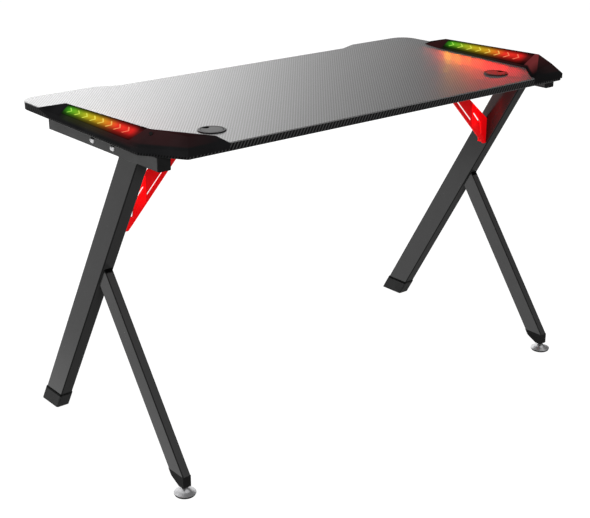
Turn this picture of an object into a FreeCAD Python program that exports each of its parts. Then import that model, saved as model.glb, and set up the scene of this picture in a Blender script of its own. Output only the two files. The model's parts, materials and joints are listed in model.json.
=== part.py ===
import FreeCAD, Part
import math
import os

os.makedirs("parts", exist_ok=True)

Vector = FreeCAD.Vector

# Desk with carbon-look top, two lit wing covers, slanted tube legs and levelling feet.
# Millimetres. +Z is up from the floor, -Y is the user's side and +X is the user's right.
# The origin lies on the floor under the middle of the desk.

# Desktop board
TOP_HEIGHT = 754.0
BOARD_THICKNESS = 18.0
BOARD_DEPTH = 602.0
BOARD_CENTRE_Y = 6.25
FRONT_WIDTH = 1200.0
SIDE_FLARE = 10.0
REAR_CHAMFER_X = 58.0
REAR_CHAMFER_Y = 90.0
FRONT_CORNER_RADIUS = 45.0
REAR_CORNER_RADIUS = 8.0
RECESS_DEPTH = 24.0
RECESS_WIDTH = 700.0
RECESS_STEP = 55.0
RECESS_RADIUS = 18.0
BOARD_EDGE_BREAK = 1.0

# Cable grommets in the rear corners of the board
GROMMET_INSET_X = 175.0
GROMMET_INSET_Y = 99.0
GROMMET_HOLE_RADIUS = 27.0
GROMMET_FLANGE_RADIUS = 30.0
GROMMET_FLANGE_HEIGHT = 2.4
GROMMET_FLANGE_BEVEL = 1.4
GROMMET_WALL = 2.2
GROMMET_SLEEVE_SHORT = 3.0
GROMMET_LEDGE_WIDTH = 3.0
GROMMET_LEDGE_HEIGHT = 2.0
GROMMET_CAP_DEPTH = 2.5
GROMMET_CAP_PROUD = 2.2
GROMMET_CAP_BEVEL = 1.1
CABLE_NOTCH_RADIUS = 9.0
CABLE_NOTCH_OFFSET = 21.0
CABLE_NOTCH_ANGLE_RIGHT = -84.0
CABLE_NOTCH_ANGLE_LEFT = 186.0

# Frame tubes
TUBE_WALL = 1.5
TUBE_CORNER = 2.5
RAIL_SIZE = 30.0
RAIL_FRONT_MARGIN = 119.0
RAIL_REAR_MARGIN = 51.0
RAIL_INSET = 26.4
LEG_WIDTH = 60.0
LEG_THICKNESS = 30.0
LEG_LEAN = 30.67
STRUT_WIDTH = 45.0
STRUT_THICKNESS = 20.0
STRUT_LEAN = 35.56
BEAM_WIDTH = 60.0
BEAM_HEIGHT = 30.0
BEAM_PLATE_THICKNESS = 3.0
BEAM_PLATE_MARGIN = 15.0
PLUG_FLANGE = 3.0
PLUG_INSERT = 14.0

# Feet
FOOT_REACH = 310.25
BOOT_WALL = 1.8
BOOT_HEIGHT = 41.0
BOOT_SOLE = 4.0
STRUT_PLUG_TOP = 46.0
STRUT_PLUG_BOTTOM = 19.0
STRUT_PLUG_REAR = 9.0
STRUT_PLUG_NOSE = 8.5
STRUT_PLUG_RADIUS = 14.0
STRUT_PLUG_HEEL_RADIUS = 2.0
BELL_RADIUS = 24.0
BELL_NECK_RADIUS = 6.5
BELL_RIM = 1.6
BELL_NECK_HEIGHT = 3.0
BELL_WAIST_RADIUS = 13.5
BELL_WAIST_HEIGHT = 10.0
BELL_SWEEP_RADIUS = 20.0
GLIDE_HEIGHT = 5.0
GLIDE_SHOW = 4.0
GLIDE_BEVEL = 0.7
GLIDE_RADIUS = 22.4
STUD_RADIUS = 4.0
INSERT_RADIUS = 5.6
INSERT_LENGTH = 22.0
FOOT_GAP = 0.8

# Red corner braces between the legs and the cross beam
BRACE_DROP = 179.0
BRACE_CONTACT = 67.0
BRACE_TIP = 10.0
BRACE_REACH = 178.0
BRACE_HEAD = 50.0
BRACE_PLATE = 4.0
BRACE_FLANGE = 22.0
BRACE_FLANGE_THICKNESS = 3.0
BRACE_BEHIND_LEG_LINE = 9.8
BRACE_BEAM_OFFSET = 17.6
BRACE_ROUND = 3.5
LONG_SLOT_WIDTH = 4.6
LONG_SLOT_MARGIN = 11.7
LONG_SLOT_START = 88.0
LONG_SLOT_LENGTH = 102.0
BENT_SLOT_WIDTH = 5.0
BENT_SLOT_POINTS = ((50.5, 87.8), (25.0, 58.0), (20.5, 31.0))

# Lit wing covers on the board's rear corners, sizes of the right-hand one
SKIRT_THICKNESS = 2.2
SKIRT_GAP = 0.3
SKIRT_DROP = 12.0
SKIRT_LEAD_IN = 50.0
WING_WALL = 3.0
WING_TIP_SETBACK = 101.4
WING_NOSE_WIDTH = 41.5
WING_NOSE_BACK = 19.6
WING_RIDGE_HEIGHT = 29.0
WING_RIDGE_FRONT_INSET = 25.5
WING_RIDGE_FRONT_BACK = 82.2
WING_RIDGE_REAR_INSET = 37.5
WING_RIDGE_REAR_BACK = -3.2
WING_CORNER_INSET_X = 15.3
WING_CORNER_INSET_Y = 23.5
WING_RETURN = 100.0
WING_END_INSET_X = 22.5
WING_END_INSET_Y = 15.5
WING_END_FOOT_X = 9.1
WING_END_FOOT_Y = 23.5
WING_INNER_WIDTH = 43.8
WING_INNER_BACK = -4.5
WING_INNER_FRONT_BACK = 4.4
LENS_THICKNESS = 1.2
LENS_LEDGE = 2.0
LENS_MARGIN = 6.0
LENS_FRONT_BACK = 14.0
LENS_REAR_RIDGE = 12.0
LENS_REAR_OUTER = 33.0
LENS_REAR_INNER = 16.0
STRIP_WIDTH = 12.0
STRIP_THICKNESS = 1.6
STRIP_MARGIN = 12.0
LED_COUNT = 12
LED_SIZE = 5.0
LED_HEIGHT = 1.6
BOSS_RADIUS = 4.0

# Light button in the right-hand wing cover, and the lead sockets under the board
BUTTON_RADIUS = 4.0
BUTTON_PROUD = 1.5
BUTTON_TRAVEL = 1.2
BUTTON_FLANGE = 1.3
BUTTON_FLANGE_HEIGHT = 1.2
BUTTON_STEM_RADIUS = 2.0
BUTTON_STEM_LENGTH = 2.4
BUTTON_OFFSET_X = 5.0
BUTTON_OFFSET_Y = 7.9
SWITCH_RADIUS = 6.0
SOCKET_OFFSET_X = 14.0
SOCKET_OFFSET_Y = 4.0
SOCKET_RADIUS = 8.0
SOCKET_HEIGHT = 5.0
SOCKET_BORE_RADIUS = 2.75
SOCKET_BORE_DEPTH = 9.0
SOCKET_STEM_RADIUS = 3.5
SOCKET_STEM_RISE = 3.0

# Fasteners
SCREW_CROWN_SHARE = 0.7
BEAM_BOLT_RADIUS = 4.0
BEAM_BOLT_MARGIN = 9.7
BEAM_BOLT_HEAD_RADIUS = 7.0
BEAM_BOLT_HEAD_HEIGHT = 4.4
BEAM_BOLT_SOCKET = 5.0
BEAM_NUT_WIDTH = 13.0
BEAM_NUT_HEIGHT = 6.5
DESKTOP_SCREW_RADIUS = 3.0
DESKTOP_SCREW_BITE = 12.0
DESKTOP_SCREW_END = 35.0
DESKTOP_SCREW_HEAD_RADIUS = 5.5
DESKTOP_SCREW_HEAD_HEIGHT = 3.5
ACCESS_HOLE_RADIUS = 7.0
BRACE_SCREW_RADIUS = 2.5
BRACE_SCREW_LENGTH = 10.0
BRACE_SCREW_HEAD_RADIUS = 4.6
BRACE_SCREW_HEAD_HEIGHT = 3.0
BRACE_SCREW_SPACING = 30.0
WING_SCREW_RADIUS = 1.75
WING_SCREW_HEAD_RADIUS = 3.6
WING_SCREW_BITE = 8.0

# Clearances
PIECE_GAP = 0.15
SCREW_GAP = 0.1
TURN_GAP = 0.4
THREAD_GAP = 0.08

# Levels and main places worked out from the sizes above
board_bottom = TOP_HEIGHT - BOARD_THICKNESS
board_front = BOARD_CENTRE_Y - BOARD_DEPTH / 2
board_rear = BOARD_CENTRE_Y + BOARD_DEPTH / 2
rail_bottom = board_bottom - RAIL_SIZE
beam_bottom = board_bottom - BEAM_HEIGHT
rail_x = FRONT_WIDTH / 2 - RAIL_INSET
rail_inner = rail_x - RAIL_SIZE / 2
rail_outer = rail_x + RAIL_SIZE / 2
rail_front = board_front + RAIL_FRONT_MARGIN
rail_rear = board_rear - RAIL_REAR_MARGIN
leg_inner = rail_x - LEG_THICKNESS / 2

leg_lean = math.radians(LEG_LEAN)
strut_lean = math.radians(STRUT_LEAN)
leg_level_width = LEG_WIDTH / math.cos(leg_lean)
strut_level_width = STRUT_WIDTH / math.cos(strut_lean)
boot_level_width = (LEG_WIDTH + 2 * BOOT_WALL) / math.cos(leg_lean)
leg_floor_y = boot_level_width / 2 - FOOT_REACH

foot_y = FOOT_REACH - BELL_RADIUS
plug_rear = foot_y + STRUT_PLUG_REAR
strut_low_y = plug_rear - strut_level_width / 2

brace_low = beam_bottom - BRACE_DROP
brace_high = brace_low + BRACE_CONTACT


def leg_centre(z):
    """Where the leg's centre line is at a height."""
    return leg_floor_y + z * math.tan(leg_lean)


brace_rear = leg_centre((brace_low + brace_high) / 2) + BRACE_BEHIND_LEG_LINE
brace_front = brace_rear - BRACE_PLATE
brace_screw_y = brace_front - BRACE_FLANGE / 2
beam_y = brace_rear - BRACE_BEAM_OFFSET
beam_end = rail_inner - BEAM_PLATE_THICKNESS
bolt_offset = BEAM_WIDTH / 2 + BEAM_BOLT_MARGIN
bolt_z = board_bottom - RAIL_SIZE / 2
desktop_screw_ys = (rail_front + DESKTOP_SCREW_END, beam_y, rail_rear - DESKTOP_SCREW_END)
grommet_x = FRONT_WIDTH / 2 - GROMMET_INSET_X
grommet_y = board_rear - GROMMET_INSET_Y

UP = Vector(0, 0, 1)
OUT = Vector(1, 0, 0)


# Drawing helpers

def level_at(z):
    """Puts an (x, y) outline on the level plane at a height."""
    return lambda p: Vector(p.x, p.y, z)


def side_at(x):
    """Puts a (y, z) outline on the plane square to X."""
    return lambda p: Vector(x, p.x, p.y)


def facing_at(y):
    """Puts an (x, z) outline on the plane square to Y."""
    return lambda p: Vector(p.x, y, p.y)


def rounded_wire(corners, place):
    """Closed outline through (a, b, radius) corners, with tangent arcs at the rounded ones."""
    turns = []
    for i, (a, b, radius) in enumerate(corners):
        here = Vector(a, b, 0)
        back = (Vector(*corners[i - 1][:2], 0) - here).normalize()
        ahead = (Vector(*corners[(i + 1) % len(corners)][:2], 0) - here).normalize()
        half = back.getAngle(ahead) / 2
        inward = (back + ahead).normalize() if radius else Vector()
        reach = radius / math.tan(half)
        middle = here + inward * (radius / math.sin(half) - radius)
        turns.append((here + back * reach, middle, here + ahead * reach))
    edges = []
    for i, (start, middle, end) in enumerate(turns):
        if corners[i][2]:
            edges.append(Part.Arc(place(start), place(middle), place(end)).toShape())
        following = turns[(i + 1) % len(turns)][0]
        edges.append(Part.LineSegment(place(end), place(following)).toShape())
    return Part.Wire(edges)


def prism(corners, place, push):
    """Solid pushed out of a flat outline."""
    return Part.Face(rounded_wire(corners, place)).extrude(push)


def sharp(points):
    """Corners with no rounding."""
    return [(a, b, 0) for a, b in points]


def rectangle(centre_a, centre_b, size_a, size_b, radius):
    """Corners of a rounded rectangle."""
    a = size_a / 2
    b = size_b / 2
    signs = ((-1, -1), (1, -1), (1, 1), (-1, 1))
    return [(centre_a + s * a, centre_b + t * b, radius) for s, t in signs]


def turned(profile, centre):
    """Solid of revolution about a vertical axis from (radius, height, rounding) corners."""
    face = Part.Face(rounded_wire(profile, facing_at(0)))
    solid = face.revolve(Vector(), UP, 360)
    solid.translate(centre)
    return solid


def rod(radius, start, direction, length):
    """Plain round bar."""
    return Part.makeCylinder(radius, length, start, direction)


def joined(solids):
    """One solid from several that touch or overlap."""
    whole = solids[0].fuse(solids[1:])
    return whole.removeSplitter()


def without(solid, cutters):
    """A solid with each of the cutters taken away."""
    return solid.cut(cutters)


def mirrored(shape):
    """The same piece for the other side of the desk."""
    return shape.mirror(Vector(), OUT)


def leaning_bar(low_y, width, thickness, radius, low, high, lean):
    """Bar on the right-hand leg plane that leans in Y and is cut level at both ends."""
    along = Vector(0, math.sin(lean), math.cos(lean))
    across = Vector(0, math.cos(lean), -math.sin(lean))
    rise = high - low
    start = Vector(rail_x, low_y, low) - along * width
    length = rise / math.cos(lean) + 2 * width
    section = rectangle(0, 0, thickness, width, radius)
    bar = prism(section, lambda p: start + OUT * p.x + across * p.y, along * length)
    reach = 2 * (rise + width)
    slab = prism(rectangle(rail_x, low_y, 2 * thickness, reach, 0), level_at(low), UP * rise)
    return bar.common(slab)


def inner_corner(radius):
    """Rounding inside a tube wall, for a given rounding outside."""
    return max(radius - TUBE_WALL, 0)


# Desktop

def side_half_width(y):
    """The board's half width at a place along its flared side."""
    share = (y - board_front) / (board_rear - REAR_CHAMFER_Y - board_front)
    return FRONT_WIDTH / 2 + SIDE_FLARE * share


side_front = Vector(FRONT_WIDTH / 2, board_front, 0)
side_rear = Vector(FRONT_WIDTH / 2 + SIDE_FLARE, board_rear - REAR_CHAMFER_Y, 0)
chamfer_rear = Vector(side_rear.x - REAR_CHAMFER_X, board_rear, 0)
rear_middle = Vector(0, board_rear, 0)


def board_corners():
    """Outline of the board, with the recess for the user at the front."""
    recess_inner = RECESS_WIDTH / 2
    recess_outer = recess_inner + RECESS_STEP
    right = [
        (recess_inner, board_front + RECESS_DEPTH, RECESS_RADIUS),
        (recess_outer, board_front, RECESS_RADIUS),
        (side_front.x, side_front.y, FRONT_CORNER_RADIUS),
        (side_rear.x, side_rear.y, REAR_CORNER_RADIUS),
        (chamfer_rear.x, chamfer_rear.y, REAR_CORNER_RADIUS),
    ]
    left = [(-x, y, radius) for x, y, radius in reversed(right)]
    return right + left


def desktop():
    board = prism(board_corners(), level_at(board_bottom), UP * BOARD_THICKNESS)
    rims = [e for e in board.Edges if abs(e.BoundBox.ZMax - e.BoundBox.ZMin) < BOARD_THICKNESS / 2]
    board = board.makeChamfer(BOARD_EDGE_BREAK, rims)
    low = Vector(0, 0, board_bottom)
    cutters = []
    for side in (1, -1):
        hole = Vector(side * grommet_x, grommet_y, 0) + low
        cutters.append(rod(GROMMET_HOLE_RADIUS, hole, UP, BOARD_THICKNESS))
        for y in desktop_screw_ys:
            pilot = Vector(side * rail_x, y, 0) + low
            depth = DESKTOP_SCREW_BITE + SCREW_GAP
            cutters.append(rod(DESKTOP_SCREW_RADIUS + SCREW_GAP, pilot, UP, depth))
        stem = Vector(side * socket_place.x, socket_place.y, 0) + low
        cutters.append(rod(SOCKET_STEM_RADIUS + PIECE_GAP, stem, UP, BOARD_THICKNESS))
        for x, y in boss_places:
            seat = Vector(side * x, y, 0) + low
            cutters.append(countersunk(seat, BOARD_THICKNESS, SCREW_GAP))
    return without(board, cutters)


# Cable grommets

liner_inner = GROMMET_HOLE_RADIUS - PIECE_GAP - GROMMET_WALL
ledge_inner = liner_inner - GROMMET_LEDGE_WIDTH
cap_radius = liner_inner - TURN_GAP


def grommet_liner(side):
    """Flanged sleeve in the board, with the ledge that carries the turning cap."""
    sleeve = GROMMET_HOLE_RADIUS - PIECE_GAP
    sleeve_low = GROMMET_SLEEVE_SHORT - BOARD_THICKNESS
    ledge_low = -GROMMET_CAP_DEPTH - GROMMET_LEDGE_HEIGHT
    profile = [
        (liner_inner, GROMMET_FLANGE_HEIGHT, 0),
        (liner_inner, -GROMMET_CAP_DEPTH, 0),
        (ledge_inner, -GROMMET_CAP_DEPTH, 0),
        (ledge_inner, ledge_low, 0),
        (liner_inner, ledge_low - GROMMET_LEDGE_WIDTH, 0),
        (liner_inner, sleeve_low, 0),
        (sleeve, sleeve_low, 0),
        (sleeve, 0, 0),
        (GROMMET_FLANGE_RADIUS, 0, 0),
        (GROMMET_FLANGE_RADIUS, GROMMET_FLANGE_HEIGHT - GROMMET_FLANGE_BEVEL, 0),
        (GROMMET_FLANGE_RADIUS - GROMMET_FLANGE_BEVEL, GROMMET_FLANGE_HEIGHT, 0),
    ]
    return turned(profile, Vector(side * grommet_x, grommet_y, TOP_HEIGHT))


def grommet_cap(side, notch_angle):
    """Round lid with a cable notch in its rim. It turns in the liner."""
    profile = [
        (0, -GROMMET_CAP_DEPTH, 0),
        (cap_radius, -GROMMET_CAP_DEPTH, 0),
        (cap_radius, GROMMET_CAP_PROUD - GROMMET_CAP_BEVEL, 0),
        (cap_radius - GROMMET_CAP_BEVEL, GROMMET_CAP_PROUD, 0),
        (0, GROMMET_CAP_PROUD, 0),
    ]
    centre = Vector(side * grommet_x, grommet_y, TOP_HEIGHT)
    lid = turned(profile, centre)
    angle = math.radians(notch_angle)
    offset = Vector(math.cos(angle), math.sin(angle), 0) * CABLE_NOTCH_OFFSET
    low = centre + offset - UP * GROMMET_CAP_DEPTH
    notch = rod(CABLE_NOTCH_RADIUS, low, UP, GROMMET_CAP_DEPTH + GROMMET_CAP_PROUD)
    return without(lid, [notch])


# Wing covers

def offset_corner(before, corner, after, distance):
    """Where two runs of an outline meet once both are moved outwards."""
    first = (corner - before).normalize()
    second = (after - corner).normalize()
    first_out = Vector(first.y, -first.x, 0)
    second_out = Vector(second.y, -second.x, 0)
    bisector = (first_out + second_out).normalize()
    return corner + bisector * (distance / bisector.dot(first_out))


def height_on(a, b, c, x, y):
    """The point at (x, y) on the plane through three points."""
    normal = (b - a).cross(c - a)
    drop = normal.x * (x - a.x) + normal.y * (y - a.y)
    return Vector(x, y, a.z - drop / normal.z)


def skirt_line(distance):
    """Plan of the right-hand cover's edge, at a distance outside the board."""
    tip_y = board_front + WING_TIP_SETBACK
    side_corner = offset_corner(side_front, side_rear, chamfer_rear, distance)
    rear_corner = offset_corner(side_rear, chamfer_rear, rear_middle, distance)
    tip = Vector(side_half_width(tip_y) + distance, tip_y, 0)
    end = Vector(rear_corner.x - WING_RETURN, board_rear + distance, 0)
    return tip, side_corner, rear_corner, end


def wing_corners():
    """Corner points of the right-hand cover's facets, in plan and height above the board."""
    tip, side_corner, rear_corner, end = skirt_line(SKIRT_GAP + SKIRT_THICKNESS)
    nose = Vector(tip.x - WING_NOSE_WIDTH, tip.y + WING_NOSE_BACK, 0)
    ridge_rear = side_corner + Vector(-WING_RIDGE_REAR_INSET, WING_RIDGE_REAR_BACK, WING_RIDGE_HEIGHT)
    ridge_front = height_on(
        tip, side_corner, ridge_rear,
        tip.x - WING_RIDGE_FRONT_INSET, tip.y + WING_RIDGE_FRONT_BACK)
    ridge_corner = height_on(
        side_corner, rear_corner, ridge_rear,
        rear_corner.x - WING_CORNER_INSET_X, rear_corner.y - WING_CORNER_INSET_Y)
    ridge_end = height_on(
        rear_corner, end, ridge_corner,
        end.x + WING_END_INSET_X, end.y - WING_END_INSET_Y)
    inner_end = end + Vector(WING_END_FOOT_X, -WING_END_FOOT_Y, 0)
    inner_rear = Vector(ridge_rear.x - WING_INNER_WIDTH, ridge_rear.y + WING_INNER_BACK, 0)
    inner_front = lit_facet_foot(ridge_front, ridge_rear, inner_rear)
    return {
        "tip": tip, "nose": nose, "end": end,
        "side_corner": side_corner, "rear_corner": rear_corner,
        "ridge_front": ridge_front, "ridge_rear": ridge_rear,
        "ridge_corner": ridge_corner, "ridge_end": ridge_end,
        "inner_front": inner_front, "inner_rear": inner_rear, "inner_end": inner_end,
    }


def lit_facet_foot(ridge_front, ridge_rear, inner_rear):
    """Front corner of the inner lit facet, in its plane and on the board."""
    normal = (ridge_rear - ridge_front).cross(inner_rear - ridge_front)
    y = ridge_front.y + WING_INNER_FRONT_BACK
    lift = normal.y * (y - ridge_front.y) - normal.z * ridge_front.z
    return Vector(ridge_front.x - lift / normal.x, y, 0)


WING_FACETS = (
    ("tip", "side_corner", "ridge_rear", "ridge_front"),
    ("side_corner", "rear_corner", "ridge_corner", "ridge_rear"),
    ("rear_corner", "end", "ridge_end", "ridge_corner"),
    ("tip", "ridge_front", "nose"),
    ("nose", "ridge_front", "inner_front"),
    ("inner_front", "ridge_front", "ridge_rear", "inner_rear"),
    ("inner_rear", "ridge_rear", "ridge_end"),
    ("ridge_rear", "ridge_corner", "ridge_end"),
    ("inner_rear", "ridge_end", "inner_end"),
    ("inner_end", "ridge_end", "end"),
    ("tip", "nose", "inner_front", "inner_rear", "inner_end", "end", "rear_corner", "side_corner"),
)

wing = wing_corners()


def wing_block():
    """The space under the right-hand cover's facets, as one faceted solid on the board."""
    lift = UP * TOP_HEIGHT
    faces = []
    for facet in WING_FACETS:
        loop = [wing[name] + lift for name in facet]
        faces.append(Part.Face(Part.makePolygon(loop + loop[:1])))
    shell = Part.makeShell(faces)
    shell.sewShape()
    solid = Part.makeSolid(shell)
    if solid.Volume < 0:
        solid.reverse()
    return solid


def lowered(solid, drop):
    """A copy moved straight down."""
    copy = solid.copy()
    copy.translate(UP * -drop)
    return copy


def between(first, second, y):
    """The point at y on the line through two points, in plan."""
    share = (y - first.y) / (second.y - first.y)
    return Vector(first.x + (second.x - first.x) * share, y, 0)


def lens_prism(inset):
    """Upright block over the lens window, drawn in all round by an inset."""
    front = wing["ridge_front"].y + LENS_FRONT_BACK + inset
    rear = wing["ridge_rear"].y - inset
    margin = LENS_MARGIN + inset
    across = Vector(margin, 0, 0)
    plan = (
        between(wing["tip"], wing["side_corner"], front) - across,
        between(wing["tip"], wing["side_corner"], rear - LENS_REAR_OUTER) - across,
        between(wing["ridge_front"], wing["ridge_rear"], rear - LENS_REAR_RIDGE),
        between(wing["inner_front"], wing["inner_rear"], rear - LENS_REAR_INNER) + across,
        between(wing["inner_front"], wing["inner_rear"], front) + across,
    )
    height = WING_RIDGE_HEIGHT * 2
    return prism(sharp([(p.x, p.y) for p in plan]), level_at(TOP_HEIGHT), UP * height)


def lens_skin(block, inset):
    """The top layer of the cover inside the lens window."""
    return block.cut(lowered(block, LENS_THICKNESS)).common(lens_prism(inset))


boss_places = (
    (wing["ridge_front"].x, wing["ridge_front"].y + BOSS_RADIUS),
    ((wing["ridge_rear"].x + wing["ridge_corner"].x) / 2 - BOSS_RADIUS / 2,
     (wing["ridge_rear"].y + wing["ridge_corner"].y) / 2),
    (wing["ridge_end"].x + WING_END_INSET_X - BOSS_RADIUS, wing["ridge_end"].y),
)
socket_place = wing["ridge_corner"] - Vector(SOCKET_OFFSET_X, SOCKET_OFFSET_Y, 0)


def skirt():
    """Rim of the cover that hangs over the board's edge, with a slanted front end."""
    outside = skirt_line(SKIRT_GAP + SKIRT_THICKNESS)
    inside = skirt_line(SKIRT_GAP)
    plan = [(p.x, p.y) for p in outside] + [(p.x, p.y) for p in reversed(inside)]
    low = TOP_HEIGHT - SKIRT_DROP
    rim = prism(sharp(plan), level_at(low), UP * SKIRT_DROP)
    tip = outside[0]
    ramp = [(tip.y, TOP_HEIGHT), (tip.y, low), (tip.y + SKIRT_LEAD_IN, low)]
    wedge = prism(sharp(ramp), side_at(0), OUT * FRONT_WIDTH)
    return without(rim, [wedge])


def wing_cover(with_button):
    """Moulded shell with its facets, lens seat, window, screw bosses and skirt."""
    block = wing_block()
    posts = []
    pilots = []
    for x, y in boss_places:
        foot = Vector(x, y, TOP_HEIGHT)
        posts.append(rod(BOSS_RADIUS, foot, UP, WING_RIDGE_HEIGHT).common(block))
        pilots.append(rod(WING_SCREW_RADIUS + SCREW_GAP, foot, UP, WING_SCREW_BITE + SCREW_GAP))
    shell = joined([block.cut(lowered(block, WING_WALL)), skirt()] + posts)
    cutters = pilots + [lens_skin(block, 0), lens_prism(LENS_LEDGE)]
    if with_button:
        deep = WING_WALL + BUTTON_PROUD
        start = button_seat - button_normal * deep
        cutters.append(rod(BUTTON_RADIUS + TURN_GAP, start, button_normal, 2 * deep))
    return without(shell, cutters)


def light_lens():
    """Smoked strip that bends over the ridge and lies on the window's ledge."""
    return lens_skin(wing_block(), PIECE_GAP)


def light_strip():
    """Strip of light chips stuck on the board under the lens."""
    front = wing["ridge_front"].y + LENS_FRONT_BACK + STRIP_MARGIN
    rear = wing["ridge_rear"].y - LENS_REAR_OUTER - STRIP_MARGIN
    start = between(wing["ridge_front"], wing["ridge_rear"], front)
    end = between(wing["ridge_front"], wing["ridge_rear"], rear)
    half = Vector(STRIP_WIDTH / 2, 0, 0)
    plan = sharp([(p.x, p.y) for p in (start - half, start + half, end + half, end - half)])
    solids = [prism(plan, level_at(TOP_HEIGHT), UP * STRIP_THICKNESS)]
    pitch = (rear - front) / LED_COUNT
    for i in range(LED_COUNT):
        chip = between(start, end, front + pitch * (i + 0.5))
        corners = rectangle(chip.x, chip.y, LED_SIZE, LED_SIZE, 0)
        solids.append(prism(corners, level_at(TOP_HEIGHT + STRIP_THICKNESS), UP * LED_HEIGHT))
    return joined(solids)


# Light button and lead sockets

button_normal = (wing["rear_corner"] - wing["side_corner"]).cross(
    wing["ridge_rear"] - wing["side_corner"]).normalize()
button_seat = UP * TOP_HEIGHT + height_on(
    wing["side_corner"], wing["rear_corner"], wing["ridge_rear"],
    wing["ridge_rear"].x + BUTTON_OFFSET_X, wing["ridge_rear"].y + BUTTON_OFFSET_Y)
button_wall = WING_WALL * button_normal.z + SCREW_GAP


def light_button():
    """Push button square to its facet, held by a flange inside the cover."""
    under = button_seat - button_normal * button_wall
    cap = rod(BUTTON_RADIUS, under, button_normal, button_wall + BUTTON_PROUD)
    inward = button_normal * -1
    flange = rod(BUTTON_RADIUS + BUTTON_FLANGE, under, inward, BUTTON_FLANGE_HEIGHT)
    stem = rod(BUTTON_STEM_RADIUS, under, inward, BUTTON_FLANGE_HEIGHT + BUTTON_STEM_LENGTH)
    return joined([cap, flange, stem])


def button_switch():
    """Switch post under the button, standing on the board."""
    gap = button_wall + BUTTON_FLANGE_HEIGHT + BUTTON_STEM_LENGTH + BUTTON_TRAVEL + TURN_GAP
    top = button_seat - button_normal * gap
    reach = 2 * WING_RIDGE_HEIGHT
    post = rod(SWITCH_RADIUS, top, button_normal * -1, reach)
    below = prism(
        rectangle(top.x, top.y, 2 * reach, 2 * reach, 0), level_at(TOP_HEIGHT), UP * -reach)
    return without(post, [below])


def light_socket():
    """Lead socket under the board, with a stem up into the cover."""
    low = Vector(socket_place.x, socket_place.y, board_bottom - SOCKET_HEIGHT)
    body = rod(SOCKET_RADIUS, low, UP, SOCKET_HEIGHT)
    stem = rod(SOCKET_STEM_RADIUS, low, UP, SOCKET_HEIGHT + BOARD_THICKNESS + SOCKET_STEM_RISE)
    bore = rod(SOCKET_BORE_RADIUS, low, UP, SOCKET_BORE_DEPTH)
    return without(joined([body, stem]), [bore])


# Frame tubes

def bolt_places():
    """Where the beam's bolts cross the right-hand rail."""
    return [Vector(0, beam_y + side * bolt_offset, bolt_z) for side in (-1, 1)]


def side_rail():
    """Square tube under the board's side, with its bolt, screw and access holes."""
    centre_z = board_bottom - RAIL_SIZE / 2
    hollow = RAIL_SIZE - 2 * TUBE_WALL
    start = facing_at(rail_front + PLUG_FLANGE)
    push = Vector(0, rail_rear - rail_front - 2 * PLUG_FLANGE, 0)
    tube = prism(rectangle(rail_x, centre_z, RAIL_SIZE, RAIL_SIZE, TUBE_CORNER), start, push)
    void = prism(
        rectangle(rail_x, centre_z, hollow, hollow, inner_corner(TUBE_CORNER)), start, push)
    cutters = [void]
    for place in bolt_places():
        start_x = place + OUT * rail_inner
        cutters.append(rod(BEAM_BOLT_RADIUS + SCREW_GAP, start_x, OUT, RAIL_SIZE))
    for y in desktop_screw_ys:
        low = Vector(rail_x, y, rail_bottom)
        cutters.append(rod(DESKTOP_SCREW_RADIUS + SCREW_GAP, low, UP, RAIL_SIZE))
        cutters.append(rod(ACCESS_HOLE_RADIUS, low, UP, RAIL_SIZE / 2))
    return without(tube, cutters)


def rail_plug(end_y, inward):
    """Cap in one open end of the rail. Inward is +1 at the front end and -1 at the rear."""
    centre_z = board_bottom - RAIL_SIZE / 2
    fit = RAIL_SIZE - 2 * TUBE_WALL - 2 * PIECE_GAP
    flange = prism(
        rectangle(rail_x, centre_z, RAIL_SIZE, RAIL_SIZE, TUBE_CORNER),
        facing_at(end_y), Vector(0, inward * PLUG_FLANGE, 0))
    insert = prism(
        rectangle(rail_x, centre_z, fit, fit, inner_corner(TUBE_CORNER)),
        facing_at(end_y + inward * PLUG_FLANGE), Vector(0, inward * PLUG_INSERT, 0))
    return joined([flange, insert])


def brace_leg_screws():
    """Seat points of the screws that hold the right-hand brace to the leg."""
    middle = (brace_low + brace_high) / 2
    heights = (middle - BRACE_SCREW_SPACING / 2, middle + BRACE_SCREW_SPACING / 2)
    x = leg_inner - BRACE_FLANGE_THICKNESS
    return [Vector(x, brace_screw_y, z) for z in heights]


def brace_beam_screws():
    """Seat points of the screws that hold the right-hand brace to the beam."""
    middle = leg_inner - BRACE_REACH + BRACE_HEAD / 2
    z = beam_bottom - BRACE_FLANGE_THICKNESS
    half = BRACE_SCREW_SPACING / 2
    return [Vector(middle + side * half, brace_screw_y, z) for side in (-1, 1)]


def leg():
    """Flat tube that leans back from the front foot to the rail."""
    low_y = leg_centre(BOOT_SOLE)
    tube = leaning_bar(
        low_y, LEG_WIDTH, LEG_THICKNESS, TUBE_CORNER, BOOT_SOLE, rail_bottom, leg_lean)
    void = leaning_bar(
        low_y, LEG_WIDTH - 2 * TUBE_WALL, LEG_THICKNESS - 2 * TUBE_WALL,
        inner_corner(TUBE_CORNER), BOOT_SOLE, rail_bottom, leg_lean)
    cutters = [void]
    for place in brace_leg_screws():
        cutters.append(rod(BRACE_SCREW_RADIUS + SCREW_GAP, place, OUT, LEG_THICKNESS / 2))
    return without(tube, cutters)


def leg_boot():
    """Plastic shoe over the leg's lower end."""
    shoe = leaning_bar(
        leg_centre(0), LEG_WIDTH + 2 * BOOT_WALL, LEG_THICKNESS + 2 * BOOT_WALL,
        TUBE_CORNER + BOOT_WALL, 0, BOOT_HEIGHT, leg_lean)
    pocket = leaning_bar(
        leg_centre(BOOT_SOLE), LEG_WIDTH + 2 * PIECE_GAP, LEG_THICKNESS + 2 * PIECE_GAP,
        TUBE_CORNER, BOOT_SOLE, BOOT_HEIGHT, leg_lean)
    return without(shoe, [pocket])


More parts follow.
